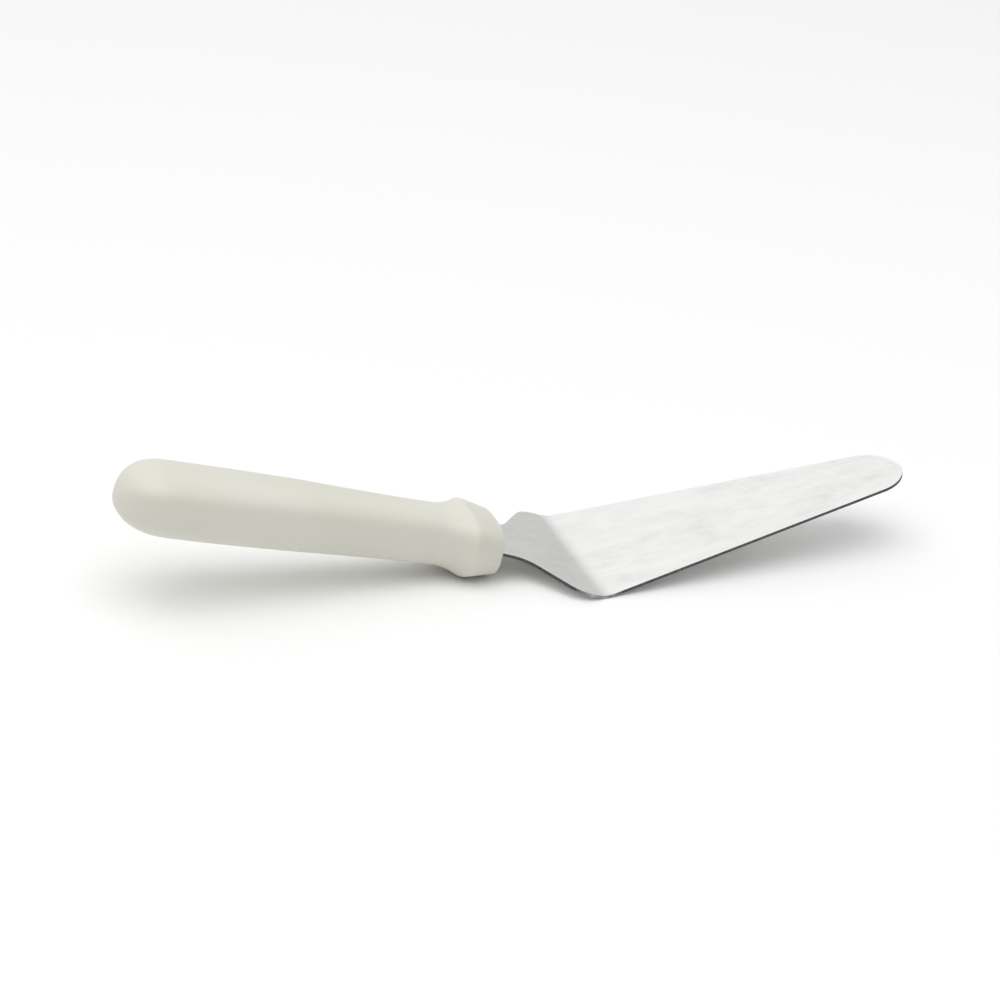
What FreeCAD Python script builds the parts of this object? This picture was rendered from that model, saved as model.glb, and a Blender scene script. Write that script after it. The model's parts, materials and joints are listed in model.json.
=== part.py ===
import FreeCAD, Part
import math
import os

import Sketcher

# Offset cake server: a wedge-shaped steel blade, bent up at its heel, in a moulded plastic handle.
# Both pieces are drawn with the blade lying flat: underside on the XY plane, heel bend on the Y axis,
# tip towards +X. The finished server is then tipped back until its heel and the underside of the
# handle's collar rest on the ground.

Vector = FreeCAD.Vector
Rotation = FreeCAD.Rotation
Placement = FreeCAD.Placement

BLADE_DIMENSIONS = {
    "sheet_thickness": 1.0,
    "blade_length": 113.0,       # heel bend line to the end of the tip
    "heel_width": 56.2,
    "tip_radius": 12.75,
    "crank_angle": 29.3,         # between blade and crank
    "crank_length": 30.6,        # heel bend line to the neck bend line
    "bend_radius": 12.0,         # underside of the heel bend
    "shoulder_width": 60.0,      # across the corners where the flare starts
    "shoulder_setback": 9.0,     # heel bend line to those corners
    "flare_angle": 53.6,         # edge of the flare to the centre line
    "shoulder_radius": 4.0,
    "neck_width": 22.8,
    "neck_fillet": 10.0,
    "neck_angle": 4.7,           # the handle lies this much flatter than the crank
    "neck_bend_radius": 12.0,
}

TANG_DIMENSIONS = {
    "neck_length": 5.0,          # full-width stretch past the neck bend line
    "tang_width": 12.0,
    "tang_length": 46.0,
    "key_radius": 2.5,           # holes that the handle's plastic fills
    "first_key": 16.0,
    "key_pitch": 18.0,
}

HANDLE_DIMENSIONS = {
    "face_gap": 0.6,             # neck bend line to the handle's front face
    "tang_height": 2.1,          # tang's underside above the parting plane
    "upper_fullness": 1.50,      # 0.71 gives an ellipse, more gives a squarer section
    "lower_fullness": 0.87,
    "handle_length": 123.0,
    "rim_radius": 0.8,
}

# Handle sections: distance from the front face, half width, height above and depth below
# the parting plane.
HANDLE_SECTIONS = {
    "front": (0.0, 13.3, 9.4, 6.2),
    "ridge": (10.4, 15.1, 11.8, 8.8),
    "waist": (19.3, 10.5, 10.5, 7.0),
    "grip": (62.8, 12.8, 11.5, 7.9),
    "butt": (106.2, 14.5, 11.6, 8.5),
}
MEASURES = ("station", "half", "above", "below")


def ease_out(part):
    return math.sin(math.pi / 2 * part)


def ease_both(part):
    return (1 - math.cos(math.pi * part)) / 2


def ease_in(part):
    return part ** 1.5


# Sections in between: the two named ones, how far along, and how the sizes ease from one to the other.
HANDLE_STRETCHES = (
    ("front", "ridge", (0.33, 0.66), ease_out),
    ("ridge", "waist", (0.25, 0.5, 0.75), ease_both),
    ("waist", "grip", (0.08, 0.2, 0.42, 0.7), ease_in),
    ("grip", "butt", (0.3, 0.6, 0.82, 0.93), ease_out),
)
BUTT_STEPS = (0.15, 0.32, 0.48, 0.63, 0.76, 0.87, 0.945, 0.985)
BUTT_ROUNDNESS = 2.6             # 2 gives an elliptic end, more gives a blunter one


def add_sheet(doc):
    sheet = doc.addObject("Spreadsheet::Sheet", "dims")
    cells = {**BLADE_DIMENSIONS, **TANG_DIMENSIONS, **HANDLE_DIMENSIONS}
    for name, sizes in HANDLE_SECTIONS.items():
        for measure, size in zip(MEASURES, sizes):
            cells[name + "_" + measure] = size
    for row, (name, size) in enumerate(cells.items(), start=1):
        sheet.set("A%d" % row, name)
        sheet.set("B%d" % row, str(size))
        sheet.setAlias("B%d" % row, name)
    doc.recompute()
    return sheet


def origin_plane(body, role):
    return next(item for item in body.Origin.OriginFeatures if item.Role == role)


def add_body(doc, name):
    body = doc.addObject("PartDesign::Body", name)
    body.Label = name
    return body


def add_sketch(body, name, role, turn=None, shift=()):
    """Empty sketch on an origin plane, turned about the body's Y axis and shifted by formulas."""
    sketch = body.newObject("Sketcher::SketchObject", name)
    sketch.AttachmentSupport = [(origin_plane(body, role), "")]
    sketch.MapMode = "FlatFace"
    if turn:
        axis = Vector(0, 1, 0) if role == "XY_Plane" else Vector(1, 0, 0)
        sketch.AttachmentOffset = Placement(Vector(), Rotation(axis, 1))
        sketch.setExpression("AttachmentOffset.Rotation.Angle", turn)
    for direction, formula in shift:
        sketch.setExpression("AttachmentOffset.Base." + direction, formula)
    return sketch


def constrain(sketch, kind, *elements, name=None, formula=None):
    index = sketch.addConstraint(Sketcher.Constraint(kind, *elements))
    if name:
        sketch.renameConstraint(index, name)
        sketch.setExpression("Constraints." + name, formula)
    return index


def add_outline(sketch, corners):
    """Closed polygon through the corners; returns the number of its first line."""
    ends = corners[1:] + corners[:1]
    lines = [Part.LineSegment(Vector(*start, 0), Vector(*end, 0)) for start, end in zip(corners, ends)]
    first = sketch.addGeometry(lines, False)[0]
    for step in range(len(lines)):
        constrain(sketch, "Coincident", first + step, 2, first + (step + 1) % len(lines), 1)
    return first


def size_of(name):
    """Driving dimension as a number, for drawing a sketch close to its solution."""
    return {**BLADE_DIMENSIONS, **TANG_DIMENSIONS, **HANDLE_DIMENSIONS}[name]


# Lengths from a bend line to where its round begins, as formulas of the sheet.
HEEL_SETBACK = "dims.bend_radius * tan(dims.crank_angle / 2)"
NECK_SETBACK = "dims.neck_bend_radius * tan(dims.neck_angle / 2)"

NECK_START = "(dims.crank_length - " + NECK_SETBACK + ")"


def setback(radius, angle):
    return radius * math.tan(math.radians(angle) / 2)


def pad_up(body, name, sketch):
    pad = body.newObject("PartDesign::Pad", name)
    pad.Profile = sketch
    pad.setExpression("Length", "dims.sheet_thickness")
    body.Document.recompute()
    return pad


def pad_wedge(body):
    """Flat wedge of the blade, from the heel bend to the round tip."""
    sketch = add_sketch(body, "WedgeOutline", "XY_Plane")
    start = setback(size_of("bend_radius"), size_of("crank_angle"))
    half = size_of("heel_width") / 2
    radius = size_of("tip_radius")
    centre = size_of("blade_length") - radius
    heel = sketch.addGeometry(Part.LineSegment(Vector(start, -half, 0), Vector(start, half, 0)), False)
    left = sketch.addGeometry(Part.LineSegment(Vector(start, half, 0), Vector(centre, radius, 0)), False)
    circle = Part.Circle(Vector(centre, 0, 0), Vector(0, 0, 1), radius)
    tip = sketch.addGeometry(Part.ArcOfCircle(circle, -math.pi / 2, math.pi / 2), False)
    right = sketch.addGeometry(Part.LineSegment(Vector(centre, -radius, 0), Vector(start, -half, 0)), False)
    constrain(sketch, "Symmetric", heel, 1, heel, 2, -1)
    constrain(sketch, "Coincident", heel, 2, left, 1)
    constrain(sketch, "Coincident", right, 2, heel, 1)
    constrain(sketch, "PointOnObject", tip, 3, -1)
    constrain(sketch, "Tangent", left, 2, tip, 2)
    constrain(sketch, "Tangent", tip, 1, right, 1)
    constrain(sketch, "DistanceX", -1, 1, heel, 2, start, name="start", formula=HEEL_SETBACK)
    constrain(sketch, "DistanceY", heel, 1, heel, 2, 2 * half, name="width", formula="dims.heel_width")
    constrain(sketch, "Radius", tip, radius, name="tip", formula="dims.tip_radius")
    constrain(sketch, "DistanceX", -1, 1, tip, 3, centre, name="reach",
              formula="dims.blade_length - dims.tip_radius")
    return pad_up(body, "Wedge", sketch)


def pad_crank(body):
    """Crank behind the heel bend: it widens a little to its shoulders, then narrows to the neck."""
    sketch = add_sketch(body, "CrankOutline", "XY_Plane", turn="dims.crank_angle")
    start = setback(size_of("bend_radius"), size_of("crank_angle"))
    shoulder = size_of("shoulder_setback")
    half = size_of("heel_width") / 2
    wide = size_of("shoulder_width") / 2
    neck = size_of("neck_width") / 2
    flare_end = shoulder + (wide - neck) / math.tan(math.radians(size_of("flare_angle")))
    end = size_of("crank_length") - setback(size_of("neck_bend_radius"), size_of("neck_angle"))
    side = [(-start, half), (-shoulder, wide), (-flare_end, neck), (-end, neck)]
    heel = add_outline(sketch, [(-start, -half)] + side + [(x, -y) for x, y in reversed(side[1:])])
    left, flare, neck_side, back, neck_back, flare_back = range(heel + 1, heel + 7)
    constrain(sketch, "Symmetric", heel, 1, heel, 2, -1)
    constrain(sketch, "Symmetric", left, 2, flare_back, 2, -1)
    constrain(sketch, "Symmetric", flare, 2, neck_back, 2, -1)
    constrain(sketch, "Symmetric", back, 1, back, 2, -1)
    constrain(sketch, "Horizontal", neck_side)
    constrain(sketch, "DistanceY", heel, 1, heel, 2, 2 * half, name="width", formula="dims.heel_width")
    constrain(sketch, "DistanceY", flare_back, 2, left, 2, 2 * wide, name="shoulders",
              formula="dims.shoulder_width")
    constrain(sketch, "DistanceY", back, 2, back, 1, 2 * neck, name="neck", formula="dims.neck_width")
    constrain(sketch, "DistanceX", heel, 2, -1, 1, start, name="start", formula=HEEL_SETBACK)
    constrain(sketch, "DistanceX", left, 2, -1, 1, shoulder, name="shoulder",
              formula="dims.shoulder_setback")
    constrain(sketch, "DistanceX", flare, 2, -1, 1, flare_end, name="flare",
              formula="dims.shoulder_setback + (dims.shoulder_width - dims.neck_width)"
                      " / 2 / tan(dims.flare_angle)")
    constrain(sketch, "DistanceX", back, 1, -1, 1, end, name="end",
              formula=NECK_START)
    return pad_up(body, "Crank", sketch)


def draw_tang(sketch):
    """Tang outline from the neck bend back, with its round holes."""
    start = setback(size_of("neck_bend_radius"), size_of("neck_angle"))
    step = size_of("neck_length")
    end = size_of("tang_length")
    neck = size_of("neck_width") / 2
    tang = size_of("tang_width") / 2
    side = [(-start, neck), (-step, neck), (-step, tang), (-end, tang)]
    front = add_outline(sketch, [(-start, -neck)] + side + [(x, -y) for x, y in reversed(side[1:])])
    neck_side, shoulder, tang_side, back, tang_back, shoulder_back = range(front + 1, front + 7)
    constrain(sketch, "Symmetric", front, 1, front, 2, -1)
    constrain(sketch, "Symmetric", neck_side, 2, shoulder_back, 2, -1)
    constrain(sketch, "Symmetric", shoulder, 2, tang_back, 2, -1)
    constrain(sketch, "Symmetric", back, 1, back, 2, -1)
    constrain(sketch, "Horizontal", neck_side)
    constrain(sketch, "Vertical", shoulder)
    constrain(sketch, "Horizontal", tang_side)
    constrain(sketch, "DistanceY", front, 1, front, 2, 2 * neck, name="neck", formula="dims.neck_width")
    constrain(sketch, "DistanceY", back, 2, back, 1, 2 * tang, name="tang", formula="dims.tang_width")
    constrain(sketch, "DistanceX", front, 2, -1, 1, start, name="start", formula=NECK_SETBACK)
    constrain(sketch, "DistanceX", neck_side, 2, -1, 1, step, name="step", formula="dims.neck_length")
    constrain(sketch, "DistanceX", back, 1, -1, 1, end, name="end", formula="dims.tang_length")
    for number in range(2):
        place = size_of("first_key") + number * size_of("key_pitch")
        circle = Part.Circle(Vector(-place, 0, 0), Vector(0, 0, 1), size_of("key_radius"))
        key = sketch.addGeometry(circle, False)
        constrain(sketch, "PointOnObject", key, 3, -1)
        constrain(sketch, "DistanceX", key, 3, -1, 1, place, name="key_place_%d" % number,
                  formula="dims.first_key + %d * dims.key_pitch" % number)
        constrain(sketch, "Radius", key, size_of("key_radius"), name="key_radius_%d" % number,
                  formula="dims.key_radius")


def turn_bend(body, sketch, sizes, axis_below=False):
    """Rounded bend: the sheet's section turned about an axis above or below it.

    sizes holds the formulas of width, axis distance from the underside and angle."""
    width_formula, axis_formula, angle_formula = sizes
    half = size_of("neck_width") / 2
    thick = size_of("sheet_thickness")
    corners = [(-half, 0), (half, 0), (half, thick), (-half, thick)]
    bottom = add_outline(sketch, corners)
    constrain(sketch, "Symmetric", bottom, 1, bottom, 2, -2)
    constrain(sketch, "PointOnObject", bottom, 1, -1)
    constrain(sketch, "Vertical", bottom + 1)
    constrain(sketch, "Horizontal", bottom + 2)
    constrain(sketch, "Vertical", bottom + 3)
    constrain(sketch, "DistanceX", bottom, 1, bottom, 2, 2 * half, name="width", formula=width_formula)
    constrain(sketch, "DistanceY", bottom + 1, 1, bottom + 1, 2, thick, name="thickness",
              formula="dims.sheet_thickness")
    reach = size_of("bend_radius")
    level = -reach if axis_below else reach
    axis = sketch.addGeometry(Part.LineSegment(Vector(-half, level, 0), Vector(half, level, 0)), True)
    constrain(sketch, "Horizontal", axis)
    constrain(sketch, "DistanceX", axis, 1, axis, 2, 2 * half, name="axis_length", formula=width_formula)
    constrain(sketch, "DistanceX", axis, 1, -1, 1, half, name="axis_half", formula=width_formula + " / 2")
    ends = (axis, 1, -1, 1) if axis_below else (-1, 1, axis, 1)
    constrain(sketch, "DistanceY", *ends, reach, name="axis_level", formula=axis_formula)
    bend = body.newObject("PartDesign::Revolution", sketch.Name.replace("Section", ""))
    bend.Profile = sketch
    bend.ReferenceAxis = (sketch, ["Axis0"])
    bend.setExpression("Angle", angle_formula)
    bend.Reversed = axis_below
    body.Document.recompute()
    return bend


def upright_edges(shape, normal, places):
    """Names of the straight edges along the sheet's normal that start at one of the places."""
    names = []
    touching = 1e-3
    for number, edge in enumerate(shape.Edges, start=1):
        first, last = edge.firstVertex().Point, edge.lastVertex().Point
        along = abs((last - first).dot(normal))
        if abs(along - edge.Length) > touching:
            continue
        if any(min((first - place).Length, (last - place).Length) < touching for place in places):
            names.append("Edge%d" % number)
    return names


def round_corners(body, name, base, distance, half, radius):
    """Fillet on the crank's two corners that lie distance behind the heel bend line."""
    angle = math.radians(size_of("crank_angle"))
    middle = Vector(-distance * math.cos(angle), 0, distance * math.sin(angle))
    places = [middle + Vector(0, side * half, 0) for side in (-1, 1)]
    normal = Vector(math.sin(angle), 0, math.cos(angle))
    fillet = body.newObject("PartDesign::Fillet", name)
    fillet.Base = (base, upright_edges(base.Shape, normal, places))
    fillet.setExpression("Radius", "dims." + radius)
    body.Document.recompute()
    return fillet


def make_blade(doc):
    body = add_body(doc, "blade")
    pad_wedge(body)
    heel = add_sketch(body, "HeelBendSection", "YZ_Plane", shift=[("z", HEEL_SETBACK)])
    turn_bend(body, heel, ("dims.heel_width", "dims.bend_radius", "dims.crank_angle"))
    crank = pad_crank(body)
    wide = size_of("shoulder_width") / 2
    neck = size_of("neck_width") / 2
    shoulder = size_of("shoulder_setback")
    flare_end = shoulder + (wide - neck) / math.tan(math.radians(size_of("flare_angle")))
    crank = round_corners(body, "Shoulders", crank, shoulder, wide, "shoulder_radius")
    round_corners(body, "NeckFillets", crank, flare_end, neck, "neck_fillet")
    neck_bend = add_sketch(body, "NeckBendSection", "YZ_Plane", turn="dims.crank_angle",
                           shift=[("y", NECK_START + " * sin(dims.crank_angle)"),
                                  ("z", "-" + NECK_START + " * cos(dims.crank_angle)")])
    turn_bend(body, neck_bend, ("dims.neck_width", "dims.neck_bend_radius", "dims.neck_angle"),
              axis_below=True)
    tang = add_sketch(body, "TangOutline", "XY_Plane", turn="dims.crank_angle - dims.neck_angle",
                      shift=[("x", "-dims.crank_length * cos(dims.crank_angle)"),
                             ("z", "dims.crank_length * sin(dims.crank_angle)")])
    draw_tang(tang)
    pad_up(body, "Tang", tang)
    return body


def draw_section(body, name, measures):
    """Handle section of four conic quarters, squarer above the parting plane than below it."""
    station, half, above, below = measures
    sketch = add_sketch(body, name.capitalize() + "Section", "YZ_Plane",
                        shift=[("z", "-(%s)" % station[1])])
    half_size, above_size, below_size = half[0], above[0], below[0]
    side, crown, keel = (half_size, 0), (0, above_size), (0, -below_size)
    far = (-half_size, 0)
    quarters = [
        (side, crown, "upper_fullness"),
        (crown, far, "upper_fullness"),
        (far, keel, "lower_fullness"),
        (keel, side, "lower_fullness"),
    ]
    curves = []
    for start, end, fullness in quarters:
        corner = (start[0] or end[0], start[1] or end[1])
        poles = [Vector(*point, 0) for point in (start, corner, end)]
        conic = Part.BSplineCurve()
        conic.buildFromPolesMultsKnots(poles, [3, 3], [0, 1], False, 2, [1, size_of(fullness), 1])
        curves.append(sketch.addGeometry(conic, False))
    for place, (curve, (start, end, fullness)) in enumerate(zip(curves, quarters)):
        corner = sketch.GeometryCount + 1
        sketch.exposeInternalGeometry(curve)
        constrain(sketch, "Weight", corner, size_of(fullness), name="fullness_%d" % place,
                  formula="dims." + fullness)
        upright, level = (1, 2) if start[0] else (2, 1)
        constrain(sketch, "Vertical", curve, upright, corner, 3)
        constrain(sketch, "Horizontal", curve, level, corner, 3)
        constrain(sketch, "Coincident", curve, 2, curves[(place + 1) % 4], 1)
    constrain(sketch, "Symmetric", curves[0], 1, curves[2], 1, -2)
    constrain(sketch, "PointOnObject", curves[0], 1, -1)
    constrain(sketch, "PointOnObject", curves[1], 1, -2)
    constrain(sketch, "PointOnObject", curves[3], 1, -2)
    constrain(sketch, "DistanceX", -1, 1, curves[0], 1, half_size, name="half", formula=half[1])
    constrain(sketch, "DistanceY", -1, 1, curves[1], 1, above_size, name="above", formula=above[1])
    constrain(sketch, "DistanceY", curves[3], 1, -1, 1, below_size, name="below", formula=below[1])
    return sketch


def section_between(body, name, first, last, shares):
    """Section whose station and sizes lie between two named ones, by the share given for each."""
    measures = []
    for measure, share, low, high in zip(MEASURES, shares, HANDLE_SECTIONS[first], HANDLE_SECTIONS[last]):
        start = "dims.%s_%s" % (first, measure)
        end = "dims.%s_%s" % (last, measure)
        formula = "%s + (%s - %s) * %.4f" % (start, end, start, share)
        measures.append((low + (high - low) * share, formula))
    return draw_section(body, name, measures)


def handle_sections(body):
    """Sketches from the front face to the round end of the butt."""
    sketches = [section_between(body, "front", "front", "ridge", (0, 0, 0, 0))]
    for first, last, parts, ease in HANDLE_STRETCHES:
        for number, part in enumerate(parts, start=1):
            shares = (part, ease(part), ease(part), ease(part))
            sketches.append(section_between(body, "%s%d" % (first, number), first, last, shares))
        sketches.append(section_between(body, last, first, last, (1, 1, 1, 1)))
    station, *radii = HANDLE_SECTIONS["butt"]
    for number, part in enumerate(BUTT_STEPS, start=1):
        shrink = math.sqrt(1 - part ** BUTT_ROUNDNESS)
        reach = part * (size_of("handle_length") - station)
        measures = [(station + reach,
                     "dims.butt_station + %r * (dims.handle_length - dims.butt_station)" % part)]
        measures += [(radius * shrink, "dims.butt_%s * %.6f" % (measure, shrink))
                     for measure, radius in zip(MEASURES[1:], radii)]
        sketches.append(draw_section(body, "end%d" % number, measures))
    return sketches


def front_face(shape):
    """Name of the flat face at the front of the handle."""
    number = max(range(len(shape.Faces)), key=lambda index: shape.Faces[index].CenterOfMass.x)
    return "Face%d" % (number + 1)


def make_handle(doc):
    """Handle in a frame of its own: front face at the origin, butt towards -X, parting plane level."""
    body = add_body(doc, "handle")
    sketches = handle_sections(body)
    doc.recompute()
    grip = body.newObject("PartDesign::AdditiveLoft", "Grip")
    grip.Profile = sketches[0]
    grip.Sections = sketches[1:]
    doc.recompute()
    rim = body.newObject("PartDesign::Fillet", "Rim")
    rim.Base = (grip, [front_face(grip.Shape)])
    rim.setExpression("Radius", "dims.rim_radius")
    doc.recompute()
    solid = rim.Shape.Volume
    slot_outline = add_sketch(body, "SlotOutline", "XY_Plane",
                              shift=[("x", "dims.face_gap"), ("z", "dims.tang_height")])
    draw_tang(slot_outline)
    slot = body.newObject("PartDesign::Pocket", "TangSlot")
    slot.Profile = slot_outline
    slot.setExpression("Length", "dims.sheet_thickness")
    slot.Reversed = True
    doc.recompute()
    print("grip %.0f mm3, slot takes %.1f mm3" % (solid, solid - slot.Shape.Volume))
    return body


def handle_place():
    """Where the handle's own frame lies while the blade is flat."""
    crank = size_of("crank_length")
    rise = size_of("crank_angle")
    neck = Vector(-crank * math.cos(math.radians(rise)), 0, crank * math.sin(math.radians(rise)))
    tang = Placement(neck, Rotation(Vector(0, 1, 0), rise - size_of("neck_angle")))
    return tang * Placement(Vector(-size_of("face_gap"), 0, -size_of("tang_height")), Rotation())


def lowest(points, tilt):
    return min(point.x * math.sin(tilt) + point.z * math.cos(tilt) for point in points)


def rest_place(blade, handle):
    """Placement that sets the server down on heel and collar, centred over the origin."""
    fineness = 0.02
    steepest = 45
    enough = 1e-7
    blade_points = blade.tessellate(fineness)[0]
    handle_points = handle.tessellate(fineness)[0]
    low, high = 0.0, math.radians(steepest)
    while high - low > enough:
        tilt = (low + high) / 2
        if lowest(handle_points, tilt) > lowest(blade_points, tilt):
            low = tilt
        else:
            high = tilt
    turn = Placement(Vector(), Rotation(Vector(0, 1, 0), -math.degrees(tilt)))
    both = Part.makeCompound([blade, handle])
    both.Placement = turn
    box = both.optimalBoundingBox(False)
    print("rest tilt %.2f degrees, size %.1f x %.1f x %.1f mm"
          % (math.degrees(tilt), box.XLength, box.YLength, box.ZLength))
    return Placement(Vector(-box.Center.x, 0, -box.ZMin), Rotation()) * turn


def check(doc, bodies):
    doc.recompute()
    for item in doc.Objects:
        if "Invalid" in item.State or "Error" in item.State:
            raise RuntimeError("%s failed: %s" % (item.Name, item.State))
    for body in bodies:
        if body.Shape.isNull() or not body.Shape.isValid() or len(body.Shape.Solids) != 1:
            raise RuntimeError("%s isn't one valid solid" % body.Label)


def main():
    doc = FreeCAD.newDocument("cake_server")
    add_sheet(doc)
    blade = make_blade(doc)
    handle = make_handle(doc)
    check(doc, [blade, handle])
    handle.Placement = handle_place()
    rest = rest_place(blade.Shape, handle.Shape)
    blade.Placement = rest
    handle.Placement = rest * handle_place()
    check(doc, [blade, handle])
    os.makedirs("parts", exist_ok=True)
    for body in (blade, handle):
        body.Shape.exportStep("parts/%s.step" % body.Label)
        box = body.Shape.optimalBoundingBox(False)
        print("%s: volume %.0f mm3, x %.1f..%.1f, y %.1f..%.1f, z %.1f..%.1f"
              % (body.Label, body.Shape.Volume, box.XMin, box.XMax, box.YMin, box.YMax, box.ZMin, box.ZMax))
    shared = blade.Shape.common(handle.Shape).Volume
    print("blade and handle share %.4f mm3" % shared)


main()
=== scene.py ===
import bmesh
import bpy
import json
import math
from mathutils import Matrix, Vector, noise


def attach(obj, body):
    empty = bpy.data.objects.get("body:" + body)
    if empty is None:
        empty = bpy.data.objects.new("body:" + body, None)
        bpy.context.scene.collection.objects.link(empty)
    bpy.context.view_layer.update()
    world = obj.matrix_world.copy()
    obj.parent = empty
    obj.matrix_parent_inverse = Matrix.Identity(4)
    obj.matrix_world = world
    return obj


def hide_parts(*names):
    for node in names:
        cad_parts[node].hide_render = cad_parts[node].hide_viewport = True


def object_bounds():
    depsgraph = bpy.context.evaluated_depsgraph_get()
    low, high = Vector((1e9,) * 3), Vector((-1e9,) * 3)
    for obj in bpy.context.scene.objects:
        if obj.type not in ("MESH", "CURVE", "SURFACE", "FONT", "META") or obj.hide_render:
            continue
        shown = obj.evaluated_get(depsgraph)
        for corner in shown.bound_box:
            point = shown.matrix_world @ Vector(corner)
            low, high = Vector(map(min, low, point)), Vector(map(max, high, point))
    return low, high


# Offset cake server: a brushed steel sheet, bent up at its heel, in a satin plastic handle.

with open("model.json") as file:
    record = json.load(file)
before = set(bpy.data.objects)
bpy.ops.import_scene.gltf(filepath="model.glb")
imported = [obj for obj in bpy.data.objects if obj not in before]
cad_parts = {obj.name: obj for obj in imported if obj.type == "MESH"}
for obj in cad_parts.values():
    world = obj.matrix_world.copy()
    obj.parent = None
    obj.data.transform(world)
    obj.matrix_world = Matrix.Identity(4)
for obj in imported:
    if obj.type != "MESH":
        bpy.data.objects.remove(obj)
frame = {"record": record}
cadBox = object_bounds()
mm = 0.001
yAxis = Vector((0, 1, 0))
print("frame loaded")


# where the sheet lies, worked out from the blade's flat underside

sheetSizes = {
    "thickness": 1.0 * mm,
    "bladeLength": 113.0 * mm,          # heel bend line to tip
    "mountAhead": 45.0 * mm,            # the mount's point, ahead of the heel bend line
    "crankAngle": math.radians(29.3),
    "crankLength": 30.6 * mm,           # heel bend line to neck bend line
    "neckAngle": math.radians(4.7),
    "heelRadius": 12.0 * mm,            # underside of each bend
    "neckRadius": 12.0 * mm,
}


def turned(vector, angle):
    return Matrix.Rotation(angle, 3, "Y") @ vector


def bendStart(radius, angle):
    # from a bend line to where its round begins
    return radius * math.tan(angle / 2)


underside = next(mount for mount in frame["record"]["mounts"] if mount["kind"] == "flat_face")
bladeUp = -Vector(underside["axis"]).normalized()
bladeAhead = yAxis.cross(bladeUp)
heelPoint = Vector(underside["pos_m"]) - bladeAhead * sheetSizes["mountAhead"]
crankUp = turned(bladeUp, sheetSizes["crankAngle"])
crankAhead = turned(bladeAhead, sheetSizes["crankAngle"])
neckPoint = heelPoint - crankAhead * sheetSizes["crankLength"]
tangUp = turned(crankUp, -sheetSizes["neckAngle"])
tangAhead = turned(crankAhead, -sheetSizes["neckAngle"])
heelStart = bendStart(sheetSizes["heelRadius"], sheetSizes["crankAngle"])
neckStart = bendStart(sheetSizes["neckRadius"], sheetSizes["neckAngle"])
heelArc = sheetSizes["heelRadius"] * sheetSizes["crankAngle"]
neckArc = sheetSizes["neckRadius"] * sheetSizes["neckAngle"]
crankFlat = sheetSizes["crankLength"] - heelStart - neckStart


def onSheet(along, across, height):
    # along runs on the flat blank: 0 where the heel bend begins, towards the tip positive
    side = yAxis * across
    if along >= 0:
        return heelPoint + bladeAhead * (heelStart + along) + side + bladeUp * height
    back = -along
    if back < heelArc:
        radius = sheetSizes["heelRadius"]
        centre = heelPoint + bladeAhead * heelStart + bladeUp * radius
        return centre - turned(bladeUp, back / radius) * (radius - height) + side
    back -= heelArc
    if back < crankFlat:
        return heelPoint - crankAhead * (heelStart + back) + side + crankUp * height
    back -= crankFlat
    if back < neckArc:
        radius = sheetSizes["neckRadius"]
        centre = neckPoint + crankAhead * neckStart - crankUp * radius
        return centre + turned(crankUp, -back / radius) * (radius + height) + side
    back -= neckArc
    return neckPoint - tangAhead * (neckStart + back) + side + tangUp * height


# mesh helpers

def newPiece(name, vertices, faces, marks, smoothAngle):
    # marks are each vertex's own measures, which the materials read
    mesh = bpy.data.meshes.new(name)
    mesh.from_pydata([tuple(vertex) for vertex in vertices], [], faces)
    layer = mesh.attributes.new("marks", "FLOAT_VECTOR", "POINT")
    for place, mark in enumerate(marks):
        layer.data[place].vector = mark
    work = bmesh.new()
    work.from_mesh(mesh)
    bmesh.ops.remove_doubles(work, verts=work.verts, dist=1e-7)
    bmesh.ops.dissolve_degenerate(work, edges=work.edges, dist=1e-8)
    bmesh.ops.recalc_face_normals(work, faces=work.faces)
    work.to_mesh(mesh)
    work.free()
    mesh.shade_smooth()
    mesh.set_sharp_from_angle(angle=math.radians(smoothAngle))
    piece = bpy.data.objects.new(name, mesh)
    bpy.context.scene.collection.objects.link(piece)
    return piece


def ringFaces(rings, count):
    # four-sided faces between each ring of vertices and the next
    faces = []
    for ring in range(rings - 1):
        start = ring * count
        for place in range(count):
            after = (place + 1) % count
            faces.append((start + place, start + after, start + count + after, start + count + place))
    return faces


# blade: one sheet, followed from its tip back to the end of the tang

bladeSizes = {
    "heelHalf": 28.1 * mm,
    "tipRadius": 12.75 * mm,
    "shoulderSetback": 9.0 * mm,
    "flareAngle": math.radians(53.6),
    "shoulderRadius": 9.0 * mm,
    "neckHalf": 11.4 * mm,
    "neckFillet": 10.0 * mm,
    "tangStep": 5.0 * mm,
    "tangHalf": 6.0 * mm,
    "tangLength": 46.0 * mm,
    "edgeRound": 0.08 * mm,            # burr taken off the sheared edge
    "edgeStrip": 0.55 * mm,            # narrow strip of faces beside the edge
    "smoothAngle": 32,
    "acrossSteps": 28,                 # how finely each stretch is drawn
    "tipSteps": 36,
    "longEdgeSteps": 52,
    "heelSteps": 20,
    "shoulderSteps": 12,
    "throatSteps": 14,
    "flareSteps": 8,
    "tangSteps": 12,
    "shortSteps": 4,
    "notchDepth": 0.05 * mm,           # keeps the step down to the tang square
}


def roundCorner(before, corner, after, radius, steps):
    # points of the arc that replaces one corner of the outline
    toBefore = (before - corner).normalized()
    toAfter = (after - corner).normalized()
    half = toBefore.angle(toAfter) / 2
    centre = corner + (toBefore + toAfter).normalized() * (radius / math.sin(half))
    first = corner + toBefore * (radius / math.tan(half)) - centre
    last = corner + toAfter * (radius / math.tan(half)) - centre
    turn = math.atan2(first.x * last.y - first.y * last.x, first.dot(last))
    arc = []
    for step in range(steps + 1):
        angle = turn * step / steps
        arc.append(centre + Matrix.Rotation(angle, 2) @ first)
    return arc


def between(first, last, steps):
    return [first.lerp(last, step / steps) for step in range(1, steps)]


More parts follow.
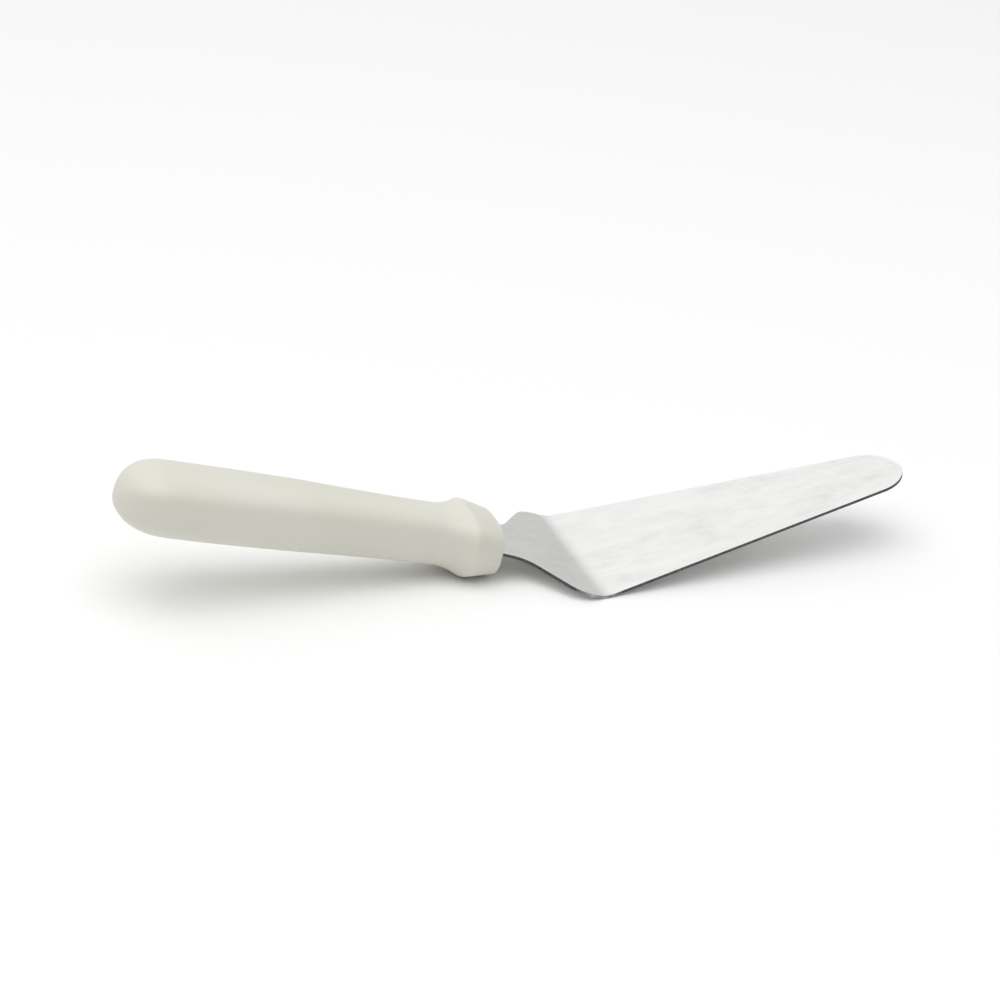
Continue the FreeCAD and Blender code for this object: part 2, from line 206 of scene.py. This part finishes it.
def halfOutline():
    # one side of the flat blank, from the middle of the tip to the end of the tang
    sizes = bladeSizes
    half, neck, tang = sizes["heelHalf"], sizes["neckHalf"], sizes["tangHalf"]
    radius = sizes["tipRadius"]
    tipCentre = Vector((sheetSizes["bladeLength"] - radius - heelStart, 0))
    heel = Vector((0, half))
    reach = (tipCentre - heel).length
    lean = math.asin(half / reach) - math.asin(radius / reach)           # of the long edge
    points = []
    for step in range(sizes["tipSteps"] + 1):
        angle = (math.pi / 2 - lean) * step / sizes["tipSteps"]
        points.append(tipCentre + Vector((math.cos(angle), math.sin(angle))) * radius)
    points += between(points[-1], heel, sizes["longEdgeSteps"]) + [heel]
    slope = math.tan(lean)
    bendEnd = Vector((-heelArc, half + heelArc * slope))
    points += between(heel, bendEnd, sizes["heelSteps"]) + [bendEnd]
    crankLine = heelStart - heelArc              # the crank's bend line on the flat blank
    shoulderBack = crankLine - sizes["shoulderSetback"]
    shoulder = Vector((shoulderBack, half - shoulderBack * slope))
    throat = Vector((shoulder.x - (shoulder.y - neck) / math.tan(sizes["flareAngle"]), neck))
    neckBend = Vector((crankLine - sheetSizes["crankLength"] + neckStart, neck))
    short = sizes["shortSteps"]
    shoulderArc = roundCorner(bendEnd, shoulder, throat, sizes["shoulderRadius"], sizes["shoulderSteps"])
    throatArc = roundCorner(shoulder, throat, neckBend, sizes["neckFillet"], sizes["throatSteps"])
    points += between(bendEnd, shoulderArc[0], short) + shoulderArc
    points += between(shoulderArc[-1], throatArc[0], sizes["flareSteps"]) + throatArc + [neckBend]
    bendEnd = Vector((neckBend.x - neckArc, neck))
    points += between(neckBend, bendEnd, short) + [bendEnd]
    step = Vector((bendEnd.x + neckStart - sizes["tangStep"], neck))
    inner = Vector((step.x - sizes["notchDepth"], tang))
    end = Vector((bendEnd.x + neckStart - sizes["tangLength"], tang))
    points += between(bendEnd, step, short) + [step, inner]
    points += between(inner, end, sizes["tangSteps"]) + [end]
    return points


def outwards(points, place):
    # away from the sheet, square to its outline
    if place == 0:
        return Vector((1, 0))
    before = points[place - 1]
    after = points[min(place + 1, len(points) - 1)]
    along = (before - after).normalized()
    return Vector((-along.y, along.x))


def buildBlade():
    sizes = bladeSizes
    thick, edge, strip = sheetSizes["thickness"], sizes["edgeRound"], sizes["edgeStrip"]
    shares = [1 - 2 * step / sizes["acrossSteps"] for step in range(sizes["acrossSteps"] + 1)]
    points = halfOutline()
    vertices, marks = [], []
    for place, point in enumerate(points):
        out = outwards(points, place)
        rim = point - out * edge
        inner = point - out * strip
        rim.y, inner.y = max(rim.y, 0), max(inner.y, 0)
        face = [(rim.x, rim.y, edge)]
        face += [(inner.x, inner.y * share, strip + inner.y * (1 - abs(share))) for share in shares]
        face += [(rim.x, -rim.y, edge)]
        ring = [(x, y, thick, inset) for x, y, inset in face]
        ring += [(point.x, -point.y, thick - edge, 0), (point.x, -point.y, edge, 0)]
        ring += [(x, y, 0, inset) for x, y, inset in reversed(face)]
        ring += [(point.x, point.y, edge, 0), (point.x, point.y, thick - edge, 0)]
        for x, y, height, inset in ring:
            vertices.append(onSheet(x, y, height))
            marks.append((x, y, inset))
    count = len(vertices) // len(points)
    faces = ringFaces(len(points), count)
    lastRing = len(vertices) - count
    faces.append(tuple(lastRing + place for place in range(count)))
    blade = newPiece("steelBlade", vertices, faces, marks, sizes["smoothAngle"])
    measures = blade.data.attributes["marks"].data
    edgeLimit = edge * 1.1             # a little over, because the stored measures are rounded
    # the sheet's side and its rounding take the second material, which paints them in shade
    for face in blade.data.polygons:
        onEdge = all(measures[corner].vector.z < edgeLimit for corner in face.vertices)
        face.material_index = 1 if onEdge else 0
    return blade


# handle: one plastic moulding, drawn station by station from its front face

handleSizes = {
    "faceGap": 0.6 * mm,               # neck bend line to front face
    "tangHeight": 2.1 * mm,            # sheet's underside above the parting plane
    "length": 123.0 * mm,
    "upperFullness": 1.50,             # 0.71 is an ellipse, more is squarer
    "lowerFullness": 0.87,
    "rimRadius": 0.8 * mm,
    "buttRoundness": 2.6,
    "softening": 1.5 * mm,             # reach of the rounding along the collar's ridge
    "seamHeight": 0.08 * mm,           # flash left along the parting line
    "slotGap": 0.18 * mm,              # open line round the neck where it enters
    "slotDepth": 1.2 * mm,
    "slotLip": 0.25 * mm,              # extra ring just inside the slot's mouth
    "slotFullness": (5, 5),
    "faceShares": (0.03, 0.3, 0.6, 0.85),      # rings over the front face, slot to rim
    "smoothAngle": 50,
    "quarterSteps": 26,                # how finely each stretch is drawn
    "besideSeam": [0, 0.004, 0.009, 0.018],
    "collarEnd": 24.0 * mm,
    "rimSteps": 7,
    "collarSteps": 60,
    "gripSteps": 70,
    "buttSteps": 33,
}

# station, half width, height above and depth below the parting plane, in mm
handleSections = {
    "front": (0.0, 13.5, 10.0, 6.7),
    "ridge": (10.2, 15.4, 12.2, 9.2),
    "waist": (19.3, 10.5, 10.5, 7.0),
    "grip": (62.8, 12.8, 11.5, 7.9),
    "butt": (106.2, 14.5, 11.6, 8.5),
}


def straight(part):
    return part


def hollow(part):
    return 1 - (1 - part) ** 1.9


def easeOut(part):
    return math.sin(math.pi / 2 * part)


def easeIn(part):
    return part ** 1.5


handleStretches = (
    ("front", "ridge", straight),
    ("ridge", "waist", hollow),
    ("waist", "grip", easeIn),
    ("grip", "butt", easeOut),
)


def plainSize(station):
    # half width, height and depth behind the front face, with the collar's ridge still sharp
    for first, last, ease in handleStretches:
        low, high = handleSections[first], handleSections[last]
        start, end = low[0] * mm, high[0] * mm
        if station <= end:
            share = ease((station - start) / (end - start))
            return [(a + (b - a) * share) * mm for a, b in zip(low[1:], high[1:])]
    start = handleSections["butt"][0] * mm
    part = min(1, (station - start) / (handleSizes["length"] - start))
    shrink = math.sqrt(max(0, 1 - part ** handleSizes["buttRoundness"]))
    return [size * shrink * mm for size in handleSections["butt"][1:]]


def handleSize(station):
    # the same, with the ridge and the hollow behind it softened
    soft = handleSizes["softening"]
    if station < soft or station > handleSections["grip"][0] * mm:
        return plainSize(station)
    shares = [step / 4 for step in range(-4, 5)]
    weights = [1 - 0.6 * abs(share) for share in shares]
    sizes = [plainSize(station + share * soft) for share in shares]
    return [sum(w * size[item] for w, size in zip(weights, sizes)) / sum(weights) for item in range(3)]


def conicQuarter(start, corner, end, fullness, share):
    first = (1 - share) ** 2
    middle = 2 * share * (1 - share) * fullness
    last = share ** 2
    return (start * first + corner * middle + end * last) / (first + middle + last)


def quarterShares(steps):
    # closer together beside the parting line, where the flash stands up
    near = handleSizes["besideSeam"]
    rest = steps - len(near) + 1
    return near + [near[-1] + (1 - near[-1]) * step / rest for step in range(1, rest)]


def sectionRing(half, above, below, fullness):
    # (y, z) once round, starting at the left side
    near = quarterShares(handleSizes["quarterSteps"])
    far = [0] + [1 - share for share in reversed(near)][:-1]
    corners = (
        ((half, 0), (0, above), near, fullness[0]),
        ((0, above), (-half, 0), far, fullness[0]),
        ((-half, 0), (0, -below), near, fullness[1]),
        ((0, -below), (half, 0), far, fullness[1]),
    )
    ring = []
    for start, end, shares, weight in corners:
        corner = Vector((start[0] or end[0], start[1] or end[1]))
        first, last = Vector(start), Vector(end)
        for share in shares:
            ring.append(conicQuarter(first, corner, last, weight, share))
    return ring


def evenly(first, last, steps):
    return [first + (last - first) * step / steps for step in range(1, steps + 1)]


def handleStations():
    # close together round the rim, over the collar and at the end of the butt
    sizes = handleSizes
    rim, collarEnd = sizes["rimRadius"], sizes["collarEnd"]
    buttStart = handleSections["butt"][0] * mm
    buttLength = sizes["length"] - buttStart
    stations = [rim * (1 - math.cos(turn)) for turn in [0] + evenly(0, math.pi / 2, sizes["rimSteps"])]
    stations += evenly(rim, collarEnd, sizes["collarSteps"])
    stations += evenly(collarEnd, buttStart, sizes["gripSteps"])
    stations += [buttStart + buttLength * math.sin(turn)
                 for turn in evenly(0, math.pi / 2, sizes["buttSteps"])]
    return stations


def onHandle(station, y, z):
    origin = neckPoint - tangAhead * handleSizes["faceGap"] - tangUp * handleSizes["tangHeight"]
    return origin - tangAhead * station + yAxis * y + tangUp * z


flashLook = {
    "reach": 0.22 * mm,                # how far up and down it spreads
    "fadeFront": 2.0 * mm,
    "fadeButt": 6.0 * mm,
    "grainAlong": 90,
    "grainUp": 40,
    "seed": 3.1,
}


def flash(station, z):
    # thin uneven ridge where the two halves of the mould met
    look = flashLook
    spot = Vector((station * look["grainAlong"], z * look["grainUp"], look["seed"]))
    unevenness = 0.75 + 0.5 * noise.noise(spot)
    toButt = handleSizes["length"] - station
    fade = min(1, toButt / look["fadeButt"]) * min(1, station / look["fadeFront"])
    near = max(0, 1 - abs(z) / look["reach"])
    return handleSizes["seamHeight"] * near ** 1.5 * unevenness * max(0, fade)


def slotRing():
    # outline of the slot that the neck goes in by
    sizes = handleSizes
    gap = sizes["slotGap"]
    middle = sizes["tangHeight"] + sheetSizes["thickness"] / 2
    slotHalf = bladeSizes["neckHalf"] + gap
    slotRise = sheetSizes["thickness"] / 2 + gap
    slot = sectionRing(slotHalf, slotRise, slotRise, sizes["slotFullness"])
    return [Vector((point.x, point.y + middle)) for point in slot]


def buildHandle():
    sizes = handleSizes
    fullness = (sizes["upperFullness"], sizes["lowerFullness"])
    stations = handleStations()
    rim = sizes["rimRadius"]
    half, above, below = handleSize(0)
    outer = sectionRing(half - rim, above - rim, below - rim, fullness)
    slot = slotRing()
    vertices, marks = [], []

    def addRing(station, ring, seamed):
        for point in ring:
            raised = flash(station, point.y) if seamed else 0
            y = point.x + math.copysign(raised, point.x)
            vertices.append(onHandle(station, y, point.y))
            marks.append((station, y, point.y))

    addRing(sizes["slotDepth"], slot, False)
    addRing(sizes["slotLip"], slot, False)
    for share in sizes["faceShares"]:
        addRing(0, [point.lerp(far, share) for point, far in zip(slot, outer)], False)
    for station in stations[:-1]:
        half, above, below = handleSize(station)
        inset = 0
        if station < rim:
            inset = rim - math.sqrt(rim ** 2 - (rim - station) ** 2)
        ring = sectionRing(half - inset, above - inset, below - inset, fullness)
        addRing(station, ring, True)
    count = len(outer)
    rings = len(vertices) // count
    faces = ringFaces(rings, count)
    end = len(vertices)
    vertices.append(onHandle(stations[-1], 0, 0))
    marks.append((stations[-1], 0, 0))
    last = end - count
    faces += [(last + place, last + (place + 1) % count, end) for place in range(count)]
    faces.append(tuple(range(count)))
    return newPiece("mouldedHandle", vertices, faces, marks, sizes["smoothAngle"])


# material helpers

def newMaterial(name, look):
    # returns the material, its node tree and its shader, with the plain values of look set on it
    material = bpy.data.materials.new(name)
    material.use_nodes = True
    tree = material.node_tree
    shader = tree.nodes["Principled BSDF"]
    for socket, value in look.items():
        shader.inputs[socket].default_value = value
    return material, tree, shader


def addNode(tree, kind, inputs=None, **settings):
    node = tree.nodes.new(kind)
    for name, value in settings.items():
        setattr(node, name, value)
    for socket, value in (inputs or {}).items():
        if isinstance(value, bpy.types.NodeSocket):
            tree.links.new(value, node.inputs[socket])
        else:
            node.inputs[socket].default_value = value
    return node


def marksOf(tree):
    marks = addNode(tree, "ShaderNodeAttribute", attribute_name="marks")
    return marks.outputs["Vector"]


def stretched(tree, vector, scale):
    node = addNode(tree, "ShaderNodeMapping", {"Vector": vector, "Scale": scale})
    return node.outputs["Vector"]


def cloud(tree, vector, scale, detail=4, roughness=0.5):
    inputs = {"Vector": vector, "Scale": scale, "Detail": detail, "Roughness": roughness}
    return addNode(tree, "ShaderNodeTexNoise", inputs).outputs["Fac"]


def spread(tree, value, low, high, start=0.0, end=1.0):
    # turns the range low..high of value into start..end, and stops there
    inputs = {"Value": value, "From Min": low, "From Max": high, "To Min": start, "To Max": end}
    return addNode(tree, "ShaderNodeMapRange", inputs).outputs["Result"]


def mathOf(tree, operation, first, second):
    return addNode(tree, "ShaderNodeMath", {0: first, 1: second}, operation=operation).outputs["Value"]


def mixed(tree, share, first, second):
    node = addNode(tree, "ShaderNodeMix", data_type="RGBA")
    for place, value in ((0, share), (6, first), (7, second)):
        if isinstance(value, bpy.types.NodeSocket):
            tree.links.new(value, node.inputs[place])
        else:
            node.inputs[place].default_value = value
    return node.outputs[2]


def bump(tree, shader, height, distance, strength=1.0, under=None):
    inputs = {"Height": height, "Distance": distance, "Strength": strength}
    if under:
        inputs["Normal"] = under
    node = addNode(tree, "ShaderNodeBump", inputs)
    tree.links.new(node.outputs["Normal"], shader.inputs["Normal"])
    return node.outputs["Normal"]


# steel

steelLook = {
    "bright": (0.975, 0.97, 0.955, 1),
    "dull": (0.74, 0.737, 0.728, 1),
    # colour of the painted highlight beside the edge
    "wearAndHighlight": (0.98, 0.975, 0.965, 1),
    "grainBump": 0.040 * mm,
    "roughLow": 0.28,
    "roughHigh": 0.44,
    "fineGrain": (55, 5200, 1),        # noise scale along, across and in from the edge
    "broadGrain": (18, 900, 1),
    "rollMarks": (35, 95, 1),
    "blotches": 120,
    "rimHighlight": (0.1 * mm, 0.7 * mm),   # painted highlight: a bright line on the top face just inside the edge
}


def brushedSteel():
    look = steelLook
    material, tree, shader = newMaterial("brushedSteel", {"Metallic": 1.0})
    marks = marksOf(tree)
    fineGrain = cloud(tree, stretched(tree, marks, look["fineGrain"]), 1, 3, 0.65)
    broadGrain = cloud(tree, stretched(tree, marks, look["broadGrain"]), 1, 4, 0.6)
    rollMarks = cloud(tree, stretched(tree, marks, look["rollMarks"]), 1, 5, 0.62)
    blotches = cloud(tree, marks, look["blotches"], 6, 0.65)
    grain = mathOf(tree, "ADD", spread(tree, fineGrain, 0.3, 0.7, 0, 0.45),
                   spread(tree, broadGrain, 0.3, 0.7, 0, 0.55))
    mottle = mathOf(tree, "MULTIPLY", spread(tree, rollMarks, 0.38, 0.66),
                    spread(tree, blotches, 0.3, 0.65))
    tone = mathOf(tree, "ADD", mathOf(tree, "MULTIPLY", grain, 0.30),
                  mathOf(tree, "MULTIPLY", mottle, 0.45))
    colour = mixed(tree, spread(tree, tone, 0.0, 0.75), look["bright"], look["dull"])
    # painted highlight: the top face is lightened in a thin strip beside the sheared edge
    inset = addNode(tree, "ShaderNodeSeparateXYZ", {"Vector": marks}).outputs["Z"]
    wearAndHighlightShare = spread(tree, inset, *look["rimHighlight"], 0.7, 0)
    colour = mixed(tree, wearAndHighlightShare, colour, look["wearAndHighlight"])
    tree.links.new(colour, shader.inputs["Base Color"])
    rough = spread(tree, tone, 0.1, 0.7, look["roughLow"], look["roughHigh"])
    tree.links.new(rough, shader.inputs["Roughness"])
    bump(tree, shader, grain, look["grainBump"])
    return material


edgeLook = {
    # painted shade: the sheet's side is coloured near black for the shade it lies in, with lighter torn
    # streaks
    "edgeShade": (0.055, 0.055, 0.056, 1),
    "tornShade": (0.16, 0.16, 0.16, 1),
    # lighter colour of the real wear on the heel's edge
    "wearAndHighlight": (0.62, 0.61, 0.60, 1),
    "wornBack": (-14.0 * mm, -9.0 * mm),       # the heel's worn stretch fades in here
    "wornFront": (3.0 * mm, -3.0 * mm),        # and out here
    "tearBump": 0.03 * mm,
}


def shadedShearedEdge():
    look = edgeLook
    material, tree, shader = newMaterial("shadedShearedEdge", {"Metallic": 0.7, "Roughness": 0.5})
    marks = marksOf(tree)
    tears = cloud(tree, stretched(tree, marks, (1400, 1400, 1)), 1, 4, 0.7)
    patches = cloud(tree, marks, 160, 4, 0.6)
    # painted shade: the side of the sheet is near black, streaked by the tears
    colour = mixed(tree, spread(tree, tears, 0.35, 0.7), look["edgeShade"], look["tornShade"])
    along = addNode(tree, "ShaderNodeSeparateXYZ", {"Vector": marks}).outputs["X"]
    heelWear = mathOf(tree, "MULTIPLY", spread(tree, along, *look["wornBack"]),
                      spread(tree, along, *look["wornFront"]))
    wearAndHighlightShare = mathOf(tree, "MULTIPLY", heelWear, spread(tree, patches, 0.35, 0.6))
    tree.links.new(mixed(tree, wearAndHighlightShare, colour, look["wearAndHighlight"]), shader.inputs["Base Color"])
    tree.links.new(spread(tree, tears, 0.3, 0.7, 0.42, 0.62), shader.inputs["Roughness"])
    bump(tree, shader, tears, look["tearBump"])
    return material


# plastic

plasticLook = {
    "body": (0.735, 0.728, 0.650, 1),
    "warm": (0.705, 0.698, 0.610, 1),
    # lighter colour for the scuffed flow marks and for the painted highlight along the parting line
    "scuffAndSeamHighlight": (0.775, 0.77, 0.705, 1),
    "speck": (0.50, 0.49, 0.43, 1),
    "roughLow": 0.36,
    "roughHigh": 0.50,
    # reach of the painted highlight along the parting line
    "seamHighlightReach": (0.06 * mm, 0.30 * mm),
    "rippleBump": 0.05 * mm,
    "poreBump": 0.02 * mm,
}


def satinPlastic():
    look = plasticLook
    material, tree, shader = newMaterial("satinPlastic", {"IOR": 1.49, "Specular IOR Level": 0.65})
    marks = marksOf(tree)
    drift = cloud(tree, marks, 28, 3, 0.5)
    flow = cloud(tree, stretched(tree, marks, (22, 130, 130)), 1, 4, 0.55)
    pores = cloud(tree, marks, 2600, 3, 0.6)
    ripple = cloud(tree, marks, 210, 3, 0.5)
    colour = mixed(tree, spread(tree, drift, 0.35, 0.65), look["body"], look["warm"])
    colour = mixed(tree, spread(tree, flow, 0.45, 0.75, 0, 0.35), colour, look["scuffAndSeamHighlight"])
    height = addNode(tree, "ShaderNodeSeparateXYZ", {"Vector": marks}).outputs["Z"]
    away = mathOf(tree, "ABSOLUTE", height, 0)
    # painted highlight: a lighter line along the parting line, where the flash catches the light
    seamHighlight = spread(tree, away, *look["seamHighlightReach"], 0.4, 0)
    colour = mixed(tree, seamHighlight, colour, look["scuffAndSeamHighlight"])
    dots = addNode(tree, "ShaderNodeTexVoronoi", {"Vector": marks, "Scale": 190}).outputs["Distance"]
    specks = mathOf(tree, "MULTIPLY", spread(tree, dots, 0.05, 0.02),
                    spread(tree, drift, 0.55, 0.62, 0, 0.5))
    colour = mixed(tree, specks, colour, look["speck"])
    tree.links.new(colour, shader.inputs["Base Color"])
    rough = spread(tree, mathOf(tree, "ADD", flow, pores), 0.7, 1.3, look["roughLow"], look["roughHigh"])
    tree.links.new(rough, shader.inputs["Roughness"])
    wave = bump(tree, shader, ripple, look["rippleBump"], 0.35)
    bump(tree, shader, pores, look["poreBump"], 0.5, under=wave)
    return material


floorLook = {
    "Base Color": (0.96, 0.96, 0.96, 1),
    "Roughness": 0.8,
    "Specular IOR Level": 0.1,
}


def paleFloor():
    return newMaterial("paleFloor", floorLook)[0]


# the server

def dressBlade():
    blade = buildBlade()
    blade.data.materials.append(brushedSteel())
    blade.data.materials.append(shadedShearedEdge())
    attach(blade, "root")
    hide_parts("blade")
    print("blade made:", len(blade.data.polygons), "faces")


def dressHandle():
    handle = buildHandle()
    handle.data.materials.append(satinPlastic())
    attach(handle, "root")
    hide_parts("handle")
    print("handle made:", len(handle.data.polygons), "faces")


# floor, light and camera

studioLook = {
    "floorHalf": 4.0,
    "skyTowards": (0.0, 0.6, 0.8),            # the bright side of the room
    "skyDark": 0.27,
    "skyBright": 0.66,
    "skyPatch": 0.36,                         # extra brightness in the middle of the bright side
    "softbox": (2.8, 2.4, 30.0),              # width, depth, power
    "softboxPlace": (-0.25, -0.40, 1.9),
}


def layFloor():
    half = studioLook["floorHalf"]
    mesh = bpy.data.meshes.new("floor")
    corners = [(-half, -half, 0), (half, -half, 0), (half, half, 0), (-half, half, 0)]
    mesh.from_pydata(corners, [], [(0, 1, 2, 3)])
    floor = bpy.data.objects.new("floor", mesh)
    floor.data.materials.append(paleFloor())
    bpy.context.scene.collection.objects.link(floor)


def lightSky():
    world = bpy.data.worlds.new("studio")
    world.use_nodes = True
    tree = world.node_tree
    way = addNode(tree, "ShaderNodeTexCoord").outputs["Generated"]
    facing = addNode(tree, "ShaderNodeVectorMath", {0: way, 1: studioLook["skyTowards"]},
                     operation="DOT_PRODUCT").outputs["Value"]
    broad = spread(tree, facing, 0.15, 1.0, studioLook["skyDark"], studioLook["skyBright"])
    patch = spread(tree, facing, 0.66, 0.90, 0, studioLook["skyPatch"])
    strength = mathOf(tree, "ADD", broad, patch)
    tree.links.new(strength, tree.nodes["Background"].inputs["Strength"])
    tree.nodes["Background"].inputs["Color"].default_value = (1, 1, 1, 1)
    bpy.context.scene.world = world


def hangLight(name, sizes, place):
    width, depth, power = sizes
    lamp = bpy.data.lights.new(name, "AREA")
    lamp.shape = "RECTANGLE"
    lamp.size, lamp.size_y, lamp.energy = width, depth, power
    light = bpy.data.objects.new(name, lamp)
    light.location = place
    light.rotation_euler = (-Vector(place)).to_track_quat("-Z", "Y").to_euler()
    bpy.context.scene.collection.objects.link(light)


cameraLook = {
    "azimuth": math.radians(-21.431),
    "elevation": math.radians(25.488),
    "roll": math.radians(5.109),
    "distance": 1.03417,
    "aimShift": Vector((-0.00631, 0.00242, 0.00024)),      # from the middle of the part's box
    "viewAngle": 0.3,
    "sensorWidth": 36,
}


def setCamera():
    look = cameraLook
    low, high = Vector(cadBox[0]), Vector(cadBox[1])
    aim = (low + high) / 2 + look["aimShift"]
    azimuth, elevation = look["azimuth"], look["elevation"]
    back = Vector((math.sin(azimuth) * math.cos(elevation), -math.cos(azimuth) * math.cos(elevation),
                   math.sin(elevation)))
    level = Vector((math.cos(azimuth), math.sin(azimuth), 0))
    upright = back.cross(level)
    right = level * math.cos(look["roll"]) + upright * math.sin(look["roll"])
    data = bpy.data.cameras.new("camera")
    data.sensor_width = look["sensorWidth"]
    data.angle = look["viewAngle"]
    camera = bpy.data.objects.new("camera", data)
    turn = Matrix((right, back.cross(right), back)).transposed().to_4x4()
    camera.matrix_world = Matrix.Translation(aim + back * look["distance"]) @ turn
    bpy.context.scene.collection.objects.link(camera)
    bpy.context.scene.camera = camera


dressBlade()
dressHandle()
layFloor()
lightSky()
hangLight("softbox", studioLook["softbox"], studioLook["softboxPlace"])
setCamera()
bpy.context.scene.view_settings.view_transform = "Standard"
print("studio set")
